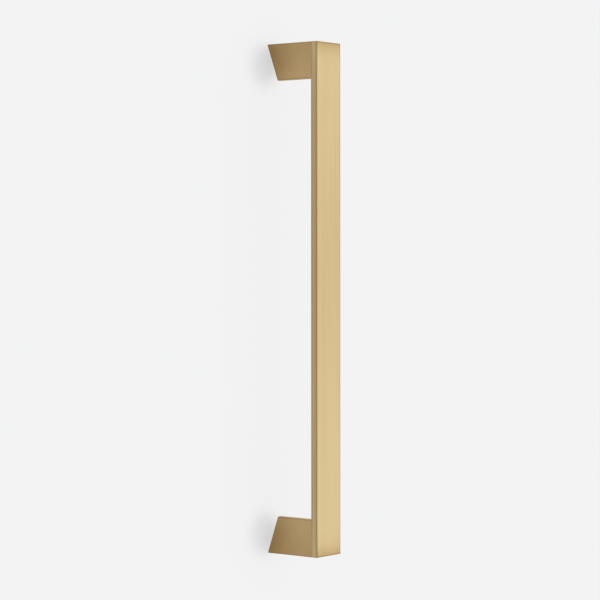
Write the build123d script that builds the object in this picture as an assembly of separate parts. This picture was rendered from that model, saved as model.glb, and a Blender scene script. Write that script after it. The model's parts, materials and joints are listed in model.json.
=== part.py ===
from build123d import *
import math
import os

# Flat bar cabinet pull, made to be screwed to a door or a drawer front from behind.
# A flat grip bar is carried at its two ends by a pair of equal feet. Seen from the front each
# foot is a wedge: as wide as the bar at the bar's end, and narrowing to a blunt nose.
#
# The mounting surface is the plane Y = 0 and the room is on its -Y side. Z runs along the bar,
# and the origin lies midway between the two screw holes.

# Whole pull
screw_spacing = 256.0  # centre to centre of the two mounting screws
screw_to_end = 6.5  # screw centre to the end of the bar
projection = 33.0  # mounting surface to the front face of the bar

# Grip bar
bar_width = 20.5
bar_thickness = 4.0
bar_edge_radius = 0.5  # the four long edges
bar_end_radius = 0.3  # the edges round each sawn end

# Feet
foot_depth = 18.5  # along the bar, from its end to the tip of the nose
nose_width = 3.3
nose_radius = 1.0  # the two corners of the nose
foot_corner_radius = 0.2  # the two upright corners at the wide end
foot_base_easing = 0.15  # the rim that meets the door

# Tapped hole for an M4 machine screw, at its core diameter
thread_diameter = 4.0
tap_drill_diameter = 3.3
tapped_depth = 14.0
drill_point_angle = 118.0
mouth_chamfer = 0.1  # how far the lead-in stands outside the thread

# Round spigot on each foot, soldered into a blind socket in the back of the bar
spigot_diameter = 8.0
spigot_chamfer = 0.3
socket_floor = 2.0  # wall of the bar that is left in front of the socket
solder_gap = 0.05  # round the spigot
solder_end_gap = 0.1  # between the end of the spigot and the floor of the socket

# Sizes that follow
bar_length = screw_spacing + 2 * screw_to_end
bar_back = bar_thickness - projection  # Y of the bar's back face
foot_height = projection - bar_thickness
socket_depth = bar_thickness - socket_floor
spigot_length = socket_depth - solder_end_gap


def at_screw(height_above_wall):
    """Places a shape that points to the room on the upper screw's axis."""
    return Pos(0, -height_above_wall, screw_spacing / 2) * Plane.XZ.location


def make_grip_bar():
    """A length of flat bar with its edges eased, and a blind socket for each foot."""
    section = RectangleRounded(bar_width, bar_thickness, bar_edge_radius)
    start = Pos(0, bar_back - bar_thickness / 2, -bar_length / 2)
    bar = extrude(start * section, amount=bar_length)
    ends = bar.faces().sort_by(Axis.Z)
    bar = fillet(ends[0].edges() + ends[-1].edges(), bar_end_radius)
    socket = Cylinder(
        spigot_diameter / 2 + solder_gap,
        socket_depth,
        align=(Align.CENTER, Align.CENTER, Align.MIN),
    )
    for turn in (0, 180):
        bar -= Rot(0, turn, 0) * at_screw(foot_height) * socket
    return bar


def foot_outline():
    """The wedge seen from the front, with its wide end level with the end of the bar."""
    wide_end = bar_length / 2
    nose_end = wide_end - foot_depth
    wedge = Polygon(
        (-bar_width / 2, wide_end),
        (-nose_width / 2, nose_end),
        (nose_width / 2, nose_end),
        (bar_width / 2, wide_end),
        align=None,
    )
    by_height = wedge.vertices().sort_by(Axis.Y)
    wedge = fillet(by_height[:2], nose_radius)
    by_height = wedge.vertices().sort_by(Axis.Y)
    return fillet(by_height[-2:], foot_corner_radius)


def tapped_hole():
    """Core of the tapped hole, from its lead-in at the mounting surface to the drill's point."""
    core = tap_drill_diameter / 2
    mouth = thread_diameter / 2 + mouth_chamfer
    lead_in = mouth - core
    point = core / math.tan(math.radians(drill_point_angle / 2))
    half_section = Polygon(
        (0, 0),
        (mouth, 0),
        (core, lead_in),
        (core, tapped_depth),
        (0, tapped_depth + point),
        align=None,
    )
    return revolve(Plane.XZ * half_section, Axis.Z)


def make_foot():
    """The foot at the upper end of the bar."""
    foot = extrude(Plane.XZ * foot_outline(), amount=foot_height)
    base = foot.faces().sort_by(Axis.Y)[-1]
    foot = chamfer(base.edges(), foot_base_easing)
    spigot = Cylinder(
        spigot_diameter / 2,
        spigot_length,
        align=(Align.CENTER, Align.CENTER, Align.MIN),
    )
    spigot = chamfer(spigot.edges().sort_by(Axis.Z)[-1], spigot_chamfer)
    foot += at_screw(foot_height) * spigot
    return foot - at_screw(0) * tapped_hole()


foot = make_foot()
pieces = {
    "grip_bar": make_grip_bar(),
    "upper_foot": foot,
    "lower_foot": Rot(0, 180, 0) * foot,  # the same foot, turned end for end
}

os.makedirs("parts", exist_ok=True)
for name, piece in pieces.items():
    export_step(piece, f"parts/{name}.step")
    print(name, round(piece.volume), "mm3")
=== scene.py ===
import json
import math

import bmesh
import bpy
import numpy as np
from mathutils import Matrix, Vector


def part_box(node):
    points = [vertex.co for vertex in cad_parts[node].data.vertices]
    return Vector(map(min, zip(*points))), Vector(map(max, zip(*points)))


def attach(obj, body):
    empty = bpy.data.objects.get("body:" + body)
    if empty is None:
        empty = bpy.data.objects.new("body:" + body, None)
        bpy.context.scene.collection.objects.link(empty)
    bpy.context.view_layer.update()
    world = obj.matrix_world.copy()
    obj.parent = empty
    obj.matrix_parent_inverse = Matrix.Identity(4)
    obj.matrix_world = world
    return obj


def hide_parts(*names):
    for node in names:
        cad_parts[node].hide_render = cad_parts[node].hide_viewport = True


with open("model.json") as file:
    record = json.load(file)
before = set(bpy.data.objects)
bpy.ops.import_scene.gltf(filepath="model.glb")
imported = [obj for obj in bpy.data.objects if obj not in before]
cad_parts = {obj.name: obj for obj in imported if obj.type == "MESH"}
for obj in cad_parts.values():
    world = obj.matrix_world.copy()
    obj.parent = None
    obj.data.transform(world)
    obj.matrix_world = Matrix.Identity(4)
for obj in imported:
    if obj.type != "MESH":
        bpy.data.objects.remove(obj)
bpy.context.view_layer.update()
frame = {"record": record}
print("frame loaded")

# lengths are in metres, colours are linear; the pull's own sizes are read from the frame
mm = 0.001
mounts = {m["name"]: m for m in frame["record"]["mounts"]}
barLow, barHigh = (np.array(corner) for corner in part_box("grip_bar"))
footLow = np.array(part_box("upper_foot")[0])
screwZ = mounts["upper_screw_hole"]["pos_m"][2]
coreRadius = mounts["upper_screw_hole"]["dims"]["r_mm"] * mm

meshing = {
    "leastRadius": 0.02 * mm,  # of the arcs in an outline that shrinks
    "weld": 0.0005 * mm,
    "sharpFrom": 40.0,  # degrees between two faces
}


# Surfaces

# outline of a convex polygon moved inwards by inset, with an arc at each corner: every side is a
# straight run with cosine spacing, so its points crowd towards its ends, and each arc turns from one
# side's direction to the next by equal angles. Also gives each point's distance to the nearest corner.
def roundedOutline(corners, radii, flatSteps, arcSteps, inset=0.0):
    corners = np.array(corners, float)
    ahead = np.roll(corners, -1, 0) - corners
    ahead /= np.linalg.norm(ahead, axis=1)[:, None]
    behind = np.roll(ahead, 1, 0)
    turn = np.arccos(np.clip((ahead * behind).sum(1), -1, 1))
    inward = (ahead - behind) / np.linalg.norm(ahead - behind, axis=1)[:, None]
    corners = corners + inward * (inset / np.cos(turn / 2))[:, None]
    radii = np.maximum(np.array(radii) - inset, meshing["leastRadius"])
    cut = radii * np.tan(turn / 2)
    middle = corners + inward * (radii / np.cos(turn / 2))[:, None]
    points, toCorner = [], []
    for side in range(len(corners)):
        after = (side + 1) % len(corners)
        start = corners[side] + ahead[side] * cut[side]
        end = corners[after] - ahead[side] * cut[after]
        share = crowdedSteps(flatSteps[side])
        points.append(start + share[:, None] * (end - start))
        toCorner.append(np.minimum(share, 1 - share) * np.linalg.norm(end - start))
        outward = [end - middle[after], corners[after] + ahead[after] * cut[after] - middle[after]]
        share = np.linspace(0, 1, arcSteps + 1)[1:-1, None]
        arc = outward[0] * np.sin((1 - share) * turn[after]) + outward[1] * np.sin(share * turn[after])
        points.append(middle[after] + arc / np.sin(turn[after]))
        toCorner.append(np.zeros(arcSteps - 1))
    return np.concatenate(points), np.concatenate(toCorner)


# shares from 0 to 1 that crowd towards both ends, as half a turn of a cosine does
def crowdedSteps(steps):
    return (1 - np.cos(np.linspace(0, np.pi, steps + 1))) / 2


# quads of a grid of points whose last column joins its first
def wrappedQuads(rows, columns):
    i, j = np.meshgrid(np.arange(rows - 1), np.arange(columns), indexing="ij")
    k = (j + 1) % columns
    return np.stack([i * columns + j, i * columns + k, (i + 1) * columns + k, (i + 1) * columns + j], -1)


# one closed mesh piece that rides on the frame in place of its node
def makePiece(name, node, points, faces, distances, material):
    mesh = bpy.data.meshes.new(name)
    mesh.from_pydata(points.tolist(), [], faces)
    for title, values in distances.items():
        attribute = mesh.attributes.new(title, "FLOAT", "POINT")
        attribute.data.foreach_set("value", values.astype(np.float32))
    shape = bmesh.new()
    shape.from_mesh(mesh)
    bmesh.ops.remove_doubles(shape, verts=shape.verts, dist=meshing["weld"])
    bmesh.ops.recalc_face_normals(shape, faces=shape.faces)
    shape.to_mesh(mesh)
    openEdges = sum(not edge.is_manifold for edge in shape.edges)
    shape.free()
    mesh.shade_smooth()
    mesh.set_sharp_from_angle(angle=math.radians(meshing["sharpFrom"]))
    mesh.materials.append(material)
    piece = bpy.data.objects.new(name, mesh)
    bpy.context.scene.collection.objects.link(piece)
    weighting = piece.modifiers.new("evenFlats", "WEIGHTED_NORMAL")
    weighting.keep_sharp = True
    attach(piece, "root")
    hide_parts(node)
    print(name, "made,", len(mesh.polygons), "faces,", openEdges, "open edges")


# Shader nodes

# a Mix node has its own sockets for each kind of data: first, second and result
mixSockets = {"VECTOR": (4, 5, 1), "RGBA": (6, 7, 2)}


def newGroup(name, inputs, outputs):
    group = bpy.data.node_groups.new(name, "ShaderNodeTree")
    for side, sockets in (("INPUT", inputs), ("OUTPUT", outputs)):
        for title, kind in sockets.items():
            group.interface.new_socket(name=title, in_out=side, socket_type=kind)
    return group, group.nodes.new("NodeGroupInput").outputs, group.nodes.new("NodeGroupOutput").inputs


def placeGroup(tree, group, links, values):
    node = tree.nodes.new("ShaderNodeGroup")
    node.node_tree = group
    for title, socket in links.items():
        tree.links.new(socket, node.inputs[title])
    for title, value in values.items():
        node.inputs[title].default_value = value
    return node.outputs


def mathNode(tree, operation, first, second=0.0, clamp=False):
    node = tree.nodes.new("ShaderNodeMath")
    node.operation = operation
    node.use_clamp = clamp
    for socket, value in zip(node.inputs, (first, second)):
        if isinstance(value, (int, float)):
            socket.default_value = value
        else:
            tree.links.new(value, socket)
    return node.outputs[0]


def mixNode(tree, kind, share, first, second):
    node = tree.nodes.new("ShaderNodeMix")
    node.data_type = kind
    tree.links.new(share, node.inputs["Factor"])
    firstSocket, secondSocket, result = mixSockets[kind]
    for socket, value in ((firstSocket, first), (secondSocket, second)):
        if isinstance(value, tuple):
            node.inputs[socket].default_value = (*value, 1)
        else:
            tree.links.new(value, node.inputs[socket])
    return node.outputs[result]


# noise with its middle range, from low to high, stretched to 0..1
def spreadNoise(tree, vector, scale, detail, low, high):
    noise = tree.nodes.new("ShaderNodeTexNoise")
    noise.inputs["Detail"].default_value = detail
    tree.links.new(vector, noise.inputs["Vector"])
    tree.links.new(scale, noise.inputs["Scale"])
    spread = tree.nodes.new("ShaderNodeMapRange")
    spread.interpolation_type = "SMOOTHSTEP"
    spread.inputs["From Min"].default_value = low
    spread.inputs["From Max"].default_value = high
    tree.links.new(noise.outputs[0], spread.inputs["Value"])
    return spread.outputs[0]


# 1 where value is 0, down to 0 where it reaches width
def fadeOut(tree, value, width, course="SMOOTHSTEP"):
    fade = tree.nodes.new("ShaderNodeMapRange")
    fade.interpolation_type = course
    fade.inputs["To Min"].default_value = 1.0
    fade.inputs["To Max"].default_value = 0.0
    tree.links.new(value, fade.inputs["Value"])
    tree.links.new(width, fade.inputs["From Max"])
    return fade.outputs[0]


strokes = {
    "lengthwise": (1.0, 1.0, 0.006),
    "crosswise": (0.01, 1.0, 1.0),
    "direction": (0.05, 0.02, 1.0),  # of the strokes, a little off Z so that it crosses the end faces too
    "hairs": (3.0, 0.3, 0.7),  # detail of the noise, and the range of it that is stretched
    "bands": (2.0, 0.3, 0.7),
    "clouds": (1.0, 0.35, 0.65),
}


# strokes of an abrasive belt: along Z on the sides, and along X on the faces that look up or down
def makeStrokeGroup():
    group, ins, outs = newGroup(
        "beltStrokes",
        {
            "Position": "NodeSocketVector",
            "End Face": "NodeSocketFloat",
            "Hairs per Metre": "NodeSocketFloat",
            "Bands per Metre": "NodeSocketFloat",
        },
        {"Hairs": "NodeSocketFloat", "Bands": "NodeSocketFloat"},
    )
    courses = []
    for shares in (strokes["lengthwise"], strokes["crosswise"]):
        course = group.nodes.new("ShaderNodeVectorMath")
        course.operation = "MULTIPLY"
        course.inputs[1].default_value = shares
        group.links.new(ins["Position"], course.inputs[0])
        courses.append(course.outputs[0])
    drawn = mixNode(group, "VECTOR", ins["End Face"], *courses)
    for title in ("Hairs", "Bands"):
        noise = spreadNoise(group, drawn, ins[title + " per Metre"], *strokes[title.lower()])
        group.links.new(noise, outs[title])
    return group


# thin rim of painted shade on the very edges, a painted shade that grows towards the end of a piece, and a
# broader painted sheen there
def makeRimGroup():
    group, ins, outs = newGroup(
        "rimAndEnd",
        {
            "Edge Distance": "NodeSocketFloat",
            "End Distance": "NodeSocketFloat",
            "Rim Width": "NodeSocketFloat",
            "End Width": "NodeSocketFloat",
            "End Power": "NodeSocketFloat",
            "Sheen Width": "NodeSocketFloat",
        },
        {"Rim": "NodeSocketFloat", "End": "NodeSocketFloat", "Sheen": "NodeSocketFloat"},
    )
    end = fadeOut(group, ins["End Distance"], ins["End Width"], "LINEAR")
    group.links.new(fadeOut(group, ins["Edge Distance"], ins["Rim Width"]), outs["Rim"])
    group.links.new(mathNode(group, "POWER", end, ins["End Power"]), outs["End"])
    group.links.new(fadeOut(group, ins["End Distance"], ins["Sheen Width"]), outs["Sheen"])
    return group


# faint clouds in the lacquer, and one long soft stretch of painted shade round a height; with Both Ends at 1
# it lies at the same distance above and below the middle
def makeCloudsAndShadeGroup():
    group, ins, outs = newGroup(
        "lacquerTone",
        {
            "Position": "NodeSocketVector",
            "Clouds per Metre": "NodeSocketFloat",
            "Stretch Height": "NodeSocketFloat",
            "Stretch Reach": "NodeSocketFloat",
            "Both Ends": "NodeSocketFloat",
        },
        {"Clouds": "NodeSocketFloat", "Stretch": "NodeSocketFloat"},
    )
    clouds = spreadNoise(group, ins["Position"], ins["Clouds per Metre"], *strokes["clouds"])
    group.links.new(clouds, outs["Clouds"])
    parts = group.nodes.new("ShaderNodeSeparateXYZ")
    group.links.new(ins["Position"], parts.inputs[0])
    height = parts.outputs["Z"]
    fold = mathNode(group, "SUBTRACT", mathNode(group, "ABSOLUTE", height), height)
    height = mathNode(group, "ADD", height, mathNode(group, "MULTIPLY", fold, ins["Both Ends"]))
    away = mathNode(group, "ABSOLUTE", mathNode(group, "SUBTRACT", height, ins["Stretch Height"]))
    group.links.new(fadeOut(group, away, ins["Stretch Reach"]), outs["Stretch"])
    return group


strokeGroup = makeStrokeGroup()
rimGroup = makeRimGroup()
cloudsAndShadeGroup = makeCloudsAndShadeGroup()
print("strokes, rims and lacquer ready")


# satin brass under lacquer: pale metal, deeper in the strokes and the clouds; painted shade makes it deeper
# along one long stretch, towards the end and on the very edges, the front is painted paler than the other
# faces, and a painted sheen makes those paler near the ends
def makeBrass(name, look):
    material = bpy.data.materials.new(name)
    material.use_nodes = True
    tree = material.node_tree
    shader = tree.nodes["Principled BSDF"]
    shader.inputs["Metallic"].default_value = 1.0
    shader.inputs["Anisotropic"].default_value = look["anisotropy"]
    place = tree.nodes.new("ShaderNodeTexCoord").outputs["Object"]
    facing = tree.nodes.new("ShaderNodeNewGeometry").outputs["Normal"]
    facingParts = tree.nodes.new("ShaderNodeSeparateXYZ")
    tree.links.new(facing, facingParts.inputs[0])
    upOrDown = mathNode(tree, "ABSOLUTE", facingParts.outputs["Z"])
    endFace = mathNode(tree, "GREATER_THAN", upOrDown, look["faceFrom"])
    frontFace = mathNode(tree, "LESS_THAN", facingParts.outputs["Y"], -look["faceFrom"])
    rest = mathNode(tree, "SUBTRACT", 1.0, frontFace)
    distances = {}
    for title, attribute in (("Edge Distance", "edgeDistance"), ("End Distance", "endDistance")):
        node = tree.nodes.new("ShaderNodeAttribute")
        node.attribute_name = attribute
        distances[title] = node.outputs["Fac"]
    stroke = placeGroup(
        tree,
        strokeGroup,
        {"Position": place, "End Face": endFace},
        {"Hairs per Metre": look["hairs"], "Bands per Metre": look["bands"]},
    )
    edge = placeGroup(
        tree,
        rimGroup,
        distances,
        {
            "Rim Width": look["rimWidth"],
            "End Width": look["endWidth"],
            "End Power": look["endPower"],
            "Sheen Width": look["sheenWidth"],
        },
    )
    cloudsAndShade = placeGroup(
        tree,
        cloudsAndShadeGroup,
        {"Position": place},
        {
            "Clouds per Metre": look["clouds"],
            "Stretch Height": look["stretchHeight"],
            "Stretch Reach": look["stretchReach"],
            "Both Ends": look["bothEnds"],
        },
    )

    # the end's painted shade, turned into painted light on the other faces where endOffRest is above 1
    endShare = mathNode(tree, "SUBTRACT", 1.0, mathNode(tree, "MULTIPLY", rest, look["endOffRest"]))
    endShade = mathNode(tree, "MULTIPLY", edge["End"], endShare)
    depth = mathNode(tree, "MULTIPLY", stroke["Hairs"], look["hairDepth"])
    # hairs, bands and clouds are the metal's own tone; the stretch, the end's shade and the rim are painted
    # shade
    for mask, share in (
        (stroke["Bands"], look["bandDepth"]),
        (cloudsAndShade["Clouds"], look["cloudDepth"]),
        (cloudsAndShade["Stretch"], look["stretchDepth"]),
        (endShade, look["endDepth"]),
        (edge["Rim"], look["rimDepth"]),
    ):
        depth = mathNode(tree, "ADD", depth, mathNode(tree, "MULTIPLY", mask, share), clamp=True)
    # painted sheen: the faces other than the front painted paler near the ends
    pale = mixNode(tree, "RGBA", edge["Sheen"], look["pale"], look["sheen"])
    # the front painted paler than the other faces: painted light and shade by the way each face is turned
    pale = mixNode(tree, "RGBA", frontFace, pale, look["front"])
    colour = mixNode(tree, "RGBA", depth, pale, look["deep"])
    tree.links.new(colour, shader.inputs["Base Color"])

    rough = mathNode(tree, "MULTIPLY", stroke["Hairs"], look["hairRoughness"])
    rough = mathNode(tree, "ADD", rough, look["roughness"])
    tree.links.new(rough, shader.inputs["Roughness"])

    grooves = tree.nodes.new("ShaderNodeBump")
    grooves.inputs["Strength"].default_value = look["grooveStrength"]
    grooves.inputs["Distance"].default_value = look["grooveDepth"]
    tree.links.new(stroke["Hairs"], grooves.inputs["Height"])
    tree.links.new(grooves.outputs[0], shader.inputs["Normal"])
    across = tree.nodes.new("ShaderNodeVectorMath")
    across.operation = "CROSS_PRODUCT"
    across.inputs[1].default_value = strokes["direction"]
    tree.links.new(facing, across.inputs[0])
    tree.links.new(across.outputs[0], shader.inputs["Tangent"])
    return material


# Grip bar

gripBar = {
    "edgeRadius": 0.5 * mm,
    "endRadius": 0.3 * mm,
    "arcSteps": 8,
    "flatSteps": (24, 8, 24, 8),  # back, right, front and left side of the section
    "socketRadius": 4.05 * mm,
    "socketEndGap": 0.1 * mm,  # past the end of the foot's spigot
    "socketColumns": (6, 18),  # of the back side, left out round each socket
    "socketReach": 5.6 * mm,  # half the height of what is left out
    "socketRows": 12,
    "plainRows": 7,  # between the sockets' stretch and the middle
    "rowSlack": 0.01 * mm,
}
barBrass = {
    "front": (0.503, 0.400, 0.2165),  # of the face towards the room, painted paler than the other faces: painted light and shade by the way each face is turned
    "pale": (0.515, 0.371, 0.187),
    "sheen": (0.550, 0.420, 0.235),  # painted sheen: the other faces painted paler near the bar's ends, where they catch more of the white door
    "sheenWidth": 45 * mm,
    "deep": (0.32, 0.205, 0.078),
    "hairs": 3500.0,
    "bands": 260.0,
    "clouds": 9.0,
    # painted shade: a long darker stretch down the bar, a painted reflection of a darker part of the room
    "stretchHeight": 30 * mm,
    "stretchReach": 115 * mm,
    "bothEnds": 0.0,
    "hairDepth": 0.07,
    "bandDepth": 0.07,
    "cloudDepth": 0.04,
    "stretchDepth": 0.14,
    # painted shade: the front darker towards the bar's ends
    "endWidth": 24 * mm,
    "endPower": 5.0,
    "endDepth": 0.68,
    "endOffRest": 1.35,  # 1 keeps the end's painted shade off all faces but the front; above 1 it paints those faces paler near the ends, a painted highlight
    # painted shade: a thin darker rim along the very edges
    "rimWidth": 0.9 * mm,
    "rimDepth": 0.4,
    "faceFrom": 0.7,  # share of the normal from which a face counts as the front or an end
    "roughness": 0.33,
    "hairRoughness": 0.06,
    "anisotropy": 0.45,
    "grooveStrength": 0.12,
    "grooveDepth": 0.01 * mm,
}


# the bar's section carried from end to end: at each end the section shrinks along a quarter arc into
# a flat cap, and on the back two round sockets are let in, where the section's quads are left out
def makeGripBar(material):
    size = barHigh - barLow
    middle = (barHigh + barLow) / 2
    halfX, halfY, halfZ = size / 2
    corners = [(-halfX, halfY), (halfX, halfY), (halfX, -halfY), (-halfX, -halfY)]
    endRadius = gripBar["endRadius"]
    straight = halfZ - endRadius
    arc = np.linspace(0, np.pi / 2, gripBar["arcSteps"] + 1)
    socketRows = screwZ + np.linspace(-1, 1, gripBar["socketRows"] + 1) * gripBar["socketReach"]
    plainRows = np.linspace(0, socketRows[0], gripBar["plainRows"] + 1)[:-1]
    upper = np.concatenate([plainRows, socketRows, straight + endRadius * np.sin(arc)])
    inset = np.concatenate([np.zeros(len(plainRows) + len(socketRows)), endRadius * (1 - np.cos(arc))])
    rowZ = np.concatenate([-upper[:0:-1], upper])
    rowInset = np.concatenate([inset[:0:-1], inset])
    loops, distances = [], []
    for z, shrink in zip(rowZ, rowInset):
        outline, toCorner = roundedOutline(
            corners, [gripBar["edgeRadius"]] * 4, gripBar["flatSteps"], gripBar["arcSteps"], shrink
        )
        loops.append(np.column_stack([outline + middle[:2], np.full(len(outline), z)]))
        distances.append(np.minimum(toCorner, max(straight - abs(z), 0)))
    columns = len(loops[0])
    grid = np.array(loops)
    quads = wrappedQuads(len(loops), columns)
    kept = np.ones(quads.shape[:2], bool)
    firstColumn, lastColumn = gripBar["socketColumns"]
    sockets, socketQuads = [], []
    socketDepth = barHigh[1] - footLow[1] + gripBar["socketEndGap"]
    for sign in (-1, 1):
        nearby = np.abs(rowZ - sign * screwZ) <= gripBar["socketReach"] + gripBar["rowSlack"]
        rows = np.flatnonzero(nearby)
        kept[rows[0]:rows[-1], firstColumn:lastColumn] = False
        block = grid[rows[0]:rows[-1] + 1, firstColumn:lastColumn + 1]
        rim = np.concatenate([block[0, :-1], block[:-1, -1], block[-1, :0:-1], block[:0:-1, 0]])
        angle = np.arctan2(rim[:, 2] - sign * screwZ, rim[:, 0])
        circle = np.column_stack([np.cos(angle), np.zeros(len(angle)), np.sin(angle)])
        centre = np.array([0, barHigh[1], sign * screwZ])
        mouth = centre + circle * gripBar["socketRadius"]
        floor = mouth - [0, socketDepth, 0]
        tip = np.repeat(centre[None] - [0, socketDepth, 0], len(angle), 0)
        first = grid.size // 3 + sum(len(part) for part in sockets)
        sockets.append(np.concatenate([rim, mouth, floor, tip]))
        socketQuads.append(wrappedQuads(4, len(angle)).reshape(-1, 4) + first)
    points = np.concatenate([grid.reshape(-1, 3), *sockets])
    faces = quads[kept].tolist() + np.concatenate(socketQuads).tolist()
    faces += [list(range(columns)), list(range((len(loops) - 1) * columns, len(loops) * columns))]
    edgeDistance = np.concatenate([*distances, np.full(sum(map(len, sockets)), halfX)])
    reach = {"edgeDistance": edgeDistance, "endDistance": halfZ - np.abs(points[:, 2])}
    makePiece("brushedGripBar", "grip_bar", points, faces, reach, material)


makeGripBar(makeBrass("satinBarBrass", barBrass))

# Feet

wedgeFoot = {
    "noseWidth": 3.3 * mm,
    "noseRadius": 1.0 * mm,
    "heelRadius": 0.2 * mm,
    "rimRadius": 0.15 * mm,  # round the base that meets the door
    "seatRadius": 0.08 * mm,  # round the face that meets the bar
    "arcSteps": 6,
    "flatSteps": (30, 10, 30, 24),  # left side, nose, right side and wide end
    "sideRows": 28,
    "spigotRadius": 4.0 * mm,
    "spigotChamfer": 0.3 * mm,
    "pitch": 0.7 * mm,
    "grooveHalf": 0.375,  # of the pitch, half the groove's width at the core
    "flank": 0.3125,  # of the pitch, the width of one sloping side of the groove
    "threadRadius": 2.0 * mm,
    "mouthRadius": 2.1 * mm,
    "threadEnd": 12.5 * mm,
    "drilled": 14.0 * mm,
    "drillPoint": 118.0,  # degrees
    "rowsPerTurn": 10,
}
footBrass = {
    **barBrass,
    "pale": (0.527, 0.377, 0.184),
    "sheen": (0.527, 0.377, 0.184),
    "deep": (0.32, 0.19, 0.064),
    # painted shade: the feet darker towards their outer ends
    "stretchHeight": 137 * mm,
    "stretchReach": 24 * mm,
    "bothEnds": 1.0,
    "stretchDepth": 0.26,
    # painted shade: the feet darker towards the door they stand on
    "endWidth": 18 * mm,
    "endPower": 1.6,
    "endDepth": 0.5,
    "endOffRest": 0.0,
    # painted shade: a thin darker rim along the edges, and where the feet meet the door and the bar
    "rimWidth": 0.6 * mm,
    "rimDepth": 0.3,
}


# the foot as rings about its screw's axis: from the drill's point up the threaded wall, over the base,
# down the wedge's sides, across the seat and round the spigot. The thread's radius follows a
# trapezium of the phase depth / pitch - angle / whole turn, which makes it right-handed. Gives the
# points and each one's distance to the nearest edge.
def footRings():
    wideEnd = barHigh[2] - screwZ
    noseEnd = footLow[2] - screwZ
    halfWide = barHigh[0]
    halfNose = wedgeFoot["noseWidth"] / 2
    corners = [(-halfWide, wideEnd), (-halfNose, noseEnd), (halfNose, noseEnd), (halfWide, wideEnd)]
    heelRadius, noseRadius = wedgeFoot["heelRadius"], wedgeFoot["noseRadius"]
    radii = [heelRadius, noseRadius, noseRadius, heelRadius]

    def outline(inset):
        return roundedOutline(corners, radii, wedgeFoot["flatSteps"], wedgeFoot["arcSteps"], inset)

    side, toCorner = outline(0.0)
    angle = np.arctan2(side[:, 1], side[:, 0])
    circle = np.column_stack([np.cos(angle), np.sin(angle)])
    rings, depths, edge = [], [], []

    def addRing(shape, depth, edgeDistance):
        rings.append(shape)
        depths.append(np.full(len(shape), depth))
        edge.append(np.broadcast_to(edgeDistance, len(shape)))

    pitch, threadEnd = wedgeFoot["pitch"], wedgeFoot["threadEnd"]
    point = coreRadius / math.tan(math.radians(wedgeFoot["drillPoint"] / 2))
    addRing(circle * 0, wedgeFoot["drilled"] + point, halfWide)
    addRing(circle * coreRadius, wedgeFoot["drilled"], halfWide)
    leadIn = wedgeFoot["mouthRadius"] - coreRadius
    turns = (threadEnd - leadIn) / pitch
    for depth in np.linspace(threadEnd, leadIn, round(turns * wedgeFoot["rowsPerTurn"])):
        phase = (depth / pitch - angle / (2 * np.pi)) % 1.0
        groove = np.clip((wedgeFoot["grooveHalf"] - np.abs(phase - 1 / 2)) / wedgeFoot["flank"], 0, 1)
        groove *= np.clip((threadEnd - depth) / pitch, 0, 1)
        radius = coreRadius + (wedgeFoot["threadRadius"] - coreRadius) * groove
        addRing(circle * radius[:, None], depth, halfWide)
    addRing(circle * wedgeFoot["mouthRadius"], 0.0, 0.0)
    rimRadius = wedgeFoot["rimRadius"]
    for turn in np.linspace(np.pi / 2, 0, wedgeFoot["arcSteps"] + 1):
        addRing(outline(rimRadius * (1 - np.cos(turn)))[0], rimRadius * (1 - np.sin(turn)), 0.0)
    seatDepth = -barHigh[1]
    sideEnd = seatDepth - wedgeFoot["seatRadius"]
    for depth in (rimRadius + crowdedSteps(wedgeFoot["sideRows"]) * (sideEnd - rimRadius))[1:]:
        addRing(side, depth, np.minimum(toCorner, depth - rimRadius))
    addRing(outline(wedgeFoot["seatRadius"])[0], seatDepth, 0.0)
    spigotEnd = -footLow[1]
    spigotRadius, spigotChamfer = wedgeFoot["spigotRadius"], wedgeFoot["spigotChamfer"]
    addRing(circle * spigotRadius, seatDepth, halfWide)
    addRing(circle * spigotRadius, spigotEnd - spigotChamfer, halfWide)
    addRing(circle * (spigotRadius - spigotChamfer), spigotEnd, halfWide)
    addRing(circle * 0, spigotEnd, halfWide)
    ring = np.array(rings)
    points = np.stack([ring[..., 0], -np.array(depths), ring[..., 1] + screwZ], -1)
    return points, np.concatenate(edge)


footPoints, footEdgeDistance = footRings()


def makeFeet(material):
    quads = wrappedQuads(*footPoints.shape[:2]).reshape(-1, 4).tolist()
    for name, node, turn in (("threadedUpperFoot", "upper_foot", 1), ("threadedLowerFoot", "lower_foot", -1)):
        placed = footPoints.reshape(-1, 3) * [turn, 1, turn]  # half a turn about Y for the lower one
        reach = {"edgeDistance": footEdgeDistance, "endDistance": -placed[:, 1]}
        makePiece(name, node, placed, quads, reach, material)


makeFeet(makeBrass("satinFootBrass", footBrass))

# Stage: a painted door front, seen only from the room's side, with the feet's places left open

doorFront = {
    "behind": 0.05 * mm,
    "halfWidth": 1.6,
    "halfHeight": 1.6,
    "footInset": 0.6 * mm,
    "paint": (0.897, 0.91, 0.938),
    "white": (0.896, 0.896, 0.896),
    "whiteByFeet": 0.53,  # share of the white that no shadow falls on
    "whiteElsewhere": 0.92,
    "feetAt": (-14 * mm, 0.0, 124.5 * mm),  # middle of the places by the feet, up and down alike
    "feetFrom": 4 * mm,
    "feetTo": 18.5 * mm,
    "roughness": 0.6,
    "tiny": 1e-9,  # keeps a level or upright direction from dividing by nothing
}


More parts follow.
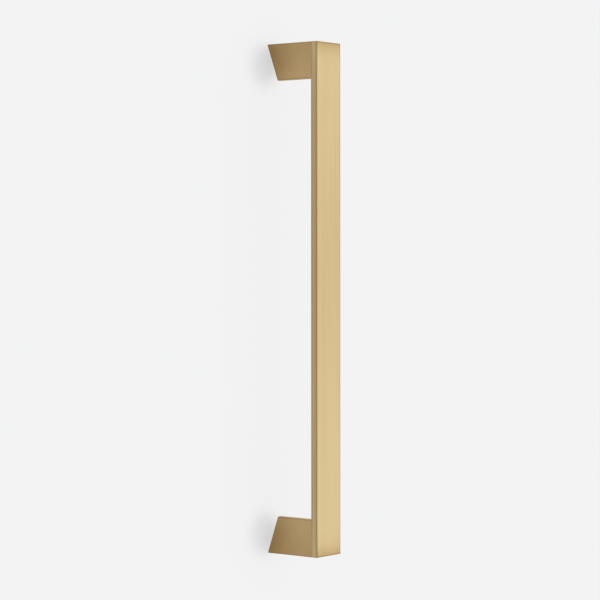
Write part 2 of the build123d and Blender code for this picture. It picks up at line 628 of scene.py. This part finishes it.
# paint that takes the shadow, mixed with a plain white by the distance to the places by the feet
def makeDoorPaint():
    material = bpy.data.materials.new("paintedDoor")
    material.use_nodes = True
    tree = material.node_tree
    paint = tree.nodes["Principled BSDF"]
    paint.inputs["Base Color"].default_value = (*doorFront["paint"], 1)
    paint.inputs["Roughness"].default_value = doorFront["roughness"]
    paint.inputs["Specular IOR Level"].default_value = 0.0
    white = tree.nodes.new("ShaderNodeEmission")
    white.inputs["Color"].default_value = (*doorFront["white"], 1)
    rays = tree.nodes.new("ShaderNodeLightPath")
    seen = mathNode(tree, "MAXIMUM", rays.outputs["Is Camera Ray"], rays.outputs["Is Glossy Ray"])
    seen = mathNode(tree, "MAXIMUM", seen, rays.outputs["Is Transmission Ray"])
    parts = tree.nodes.new("ShaderNodeSeparateXYZ")
    tree.links.new(tree.nodes.new("ShaderNodeTexCoord").outputs["Object"], parts.inputs[0])
    place = tree.nodes.new("ShaderNodeCombineXYZ")
    tree.links.new(parts.outputs["X"], place.inputs["X"])
    tree.links.new(mathNode(tree, "ABSOLUTE", parts.outputs["Z"]), place.inputs["Z"])
    away = tree.nodes.new("ShaderNodeVectorMath")
    away.operation = "DISTANCE"
    away.inputs[1].default_value = doorFront["feetAt"]
    tree.links.new(place.outputs[0], away.inputs[0])
    share = tree.nodes.new("ShaderNodeMapRange")
    share.interpolation_type = "SMOOTHSTEP"
    tree.links.new(away.outputs["Value"], share.inputs["Value"])
    for title, value in (
        ("From Min", doorFront["feetFrom"]),
        ("From Max", doorFront["feetTo"]),
        ("To Min", doorFront["whiteByFeet"]),
        ("To Max", doorFront["whiteElsewhere"]),
    ):
        share.inputs[title].default_value = value
    lit = tree.nodes.new("ShaderNodeMixShader")
    tree.links.new(mathNode(tree, "MULTIPLY", seen, share.outputs[0]), lit.inputs["Fac"])
    tree.links.new(paint.outputs[0], lit.inputs[1])
    tree.links.new(white.outputs[0], lit.inputs[2])
    clear = tree.nodes.new("ShaderNodeBsdfTransparent")
    side = tree.nodes.new("ShaderNodeNewGeometry")
    either = tree.nodes.new("ShaderNodeMixShader")
    tree.links.new(side.outputs["Backfacing"], either.inputs["Fac"])
    tree.links.new(lit.outputs[0], either.inputs[1])
    tree.links.new(clear.outputs[0], either.inputs[2])
    tree.links.new(either.outputs[0], tree.nodes["Material Output"].inputs["Surface"])
    return material


# two rings of quads, each from a foot's outline out along straight rays to the border of half of the
# door, so the two share its middle line
def makeDoorFront(material):
    base = footPoints[np.argmin(np.abs(footPoints[:, 0, 1] + wedgeFoot["rimRadius"]))]
    fromScrew = base[:, [0, 2]] - [0, screwZ]
    length = np.linalg.norm(fromScrew, axis=1)
    direction = fromScrew / length[:, None]
    inner = direction * (length - doorFront["footInset"])[:, None]
    reachX = doorFront["halfWidth"] / np.maximum(np.abs(direction[:, 0]), doorFront["tiny"])
    limitZ = np.where(direction[:, 1] > 0, doorFront["halfHeight"] - screwZ, screwZ)
    reachZ = limitZ / np.maximum(np.abs(direction[:, 1]), doorFront["tiny"])
    outer = direction * np.minimum(reachX, reachZ)[:, None]
    loops = np.concatenate([inner, outer])
    flat = np.column_stack([loops[:, 0], np.full(len(loops), doorFront["behind"]), loops[:, 1] + screwZ])
    points = np.concatenate([flat, flat * [-1, 1, -1]])
    quads = wrappedQuads(2, len(inner)).reshape(-1, 4)[:, ::-1]  # turned over, to face the room
    quads = np.concatenate([quads, quads + len(flat)])
    mesh = bpy.data.meshes.new("doorFront")
    mesh.from_pydata(points.tolist(), [], quads.tolist())
    mesh.materials.append(material)
    door = bpy.data.objects.new("doorFront", mesh)
    bpy.context.scene.collection.objects.link(door)
    print("door front made")


makeDoorFront(makeDoorPaint())

# Light and camera

studio = {
    "keyAngle": 42.0,  # degrees to the right of straight ahead of the door
    "keyRise": 10.0,
    "keyWidth": 90.0,  # degrees across
    "keyStrength": 1.43,
    "keyColour": (1.0, 0.945, 0.885),
    "skyColour": (0.965, 1.0, 1.045),
    "skyStrength": 0.66,
    "backdrop": (0.9, 0.9, 0.9),
}


def makeStudio():
    lamp = bpy.data.lights.new("softKey", "SUN")
    lamp.energy = studio["keyStrength"]
    lamp.color = studio["keyColour"]
    lamp.angle = math.radians(studio["keyWidth"])
    key = bpy.data.objects.new("softKey", lamp)
    key.rotation_euler = (math.radians(90 - studio["keyRise"]), 0, math.radians(studio["keyAngle"]))
    bpy.context.scene.collection.objects.link(key)

    world = bpy.data.worlds.new("studio")
    bpy.context.scene.world = world
    world.use_nodes = True
    tree = world.node_tree
    sky = tree.nodes["Background"]
    sky.inputs["Color"].default_value = (*studio["skyColour"], 1)
    sky.inputs["Strength"].default_value = studio["skyStrength"]
    backdrop = tree.nodes.new("ShaderNodeBackground")
    backdrop.inputs["Color"].default_value = (*studio["backdrop"], 1)
    rays = tree.nodes.new("ShaderNodeLightPath")
    either = tree.nodes.new("ShaderNodeMixShader")
    tree.links.new(rays.outputs["Is Camera Ray"], either.inputs["Fac"])
    tree.links.new(sky.outputs[0], either.inputs[1])
    tree.links.new(backdrop.outputs[0], either.inputs[2])
    tree.links.new(either.outputs[0], tree.nodes["World Output"].inputs["Surface"])
    print("studio lit")


makeStudio()

viewpoint = {
    "place": (-0.90966, -0.73277, 0.024406),
    "heading": 51.6766,  # degrees to the right of looking straight at the door
    "dip": 1.2246,  # degrees below level
    "roll": -0.0401,
    "lens": 131.55,
    "sensor": 36.0,
}


def makeCamera():
    data = bpy.data.cameras.new("camera")
    data.lens = viewpoint["lens"]
    data.sensor_width = viewpoint["sensor"]
    camera = bpy.data.objects.new("camera", data)
    camera.location = viewpoint["place"]
    turned = Matrix.Rotation(math.radians(-viewpoint["heading"]), 4, "Z")
    turned @= Matrix.Rotation(math.radians(90 - viewpoint["dip"]), 4, "X")
    turned @= Matrix.Rotation(math.radians(viewpoint["roll"]), 4, "Z")
    camera.rotation_euler = turned.to_euler()
    bpy.context.scene.collection.objects.link(camera)
    bpy.context.scene.camera = camera
    print("camera placed")


makeCamera()
bpy.context.scene.view_settings.view_transform = "Standard"
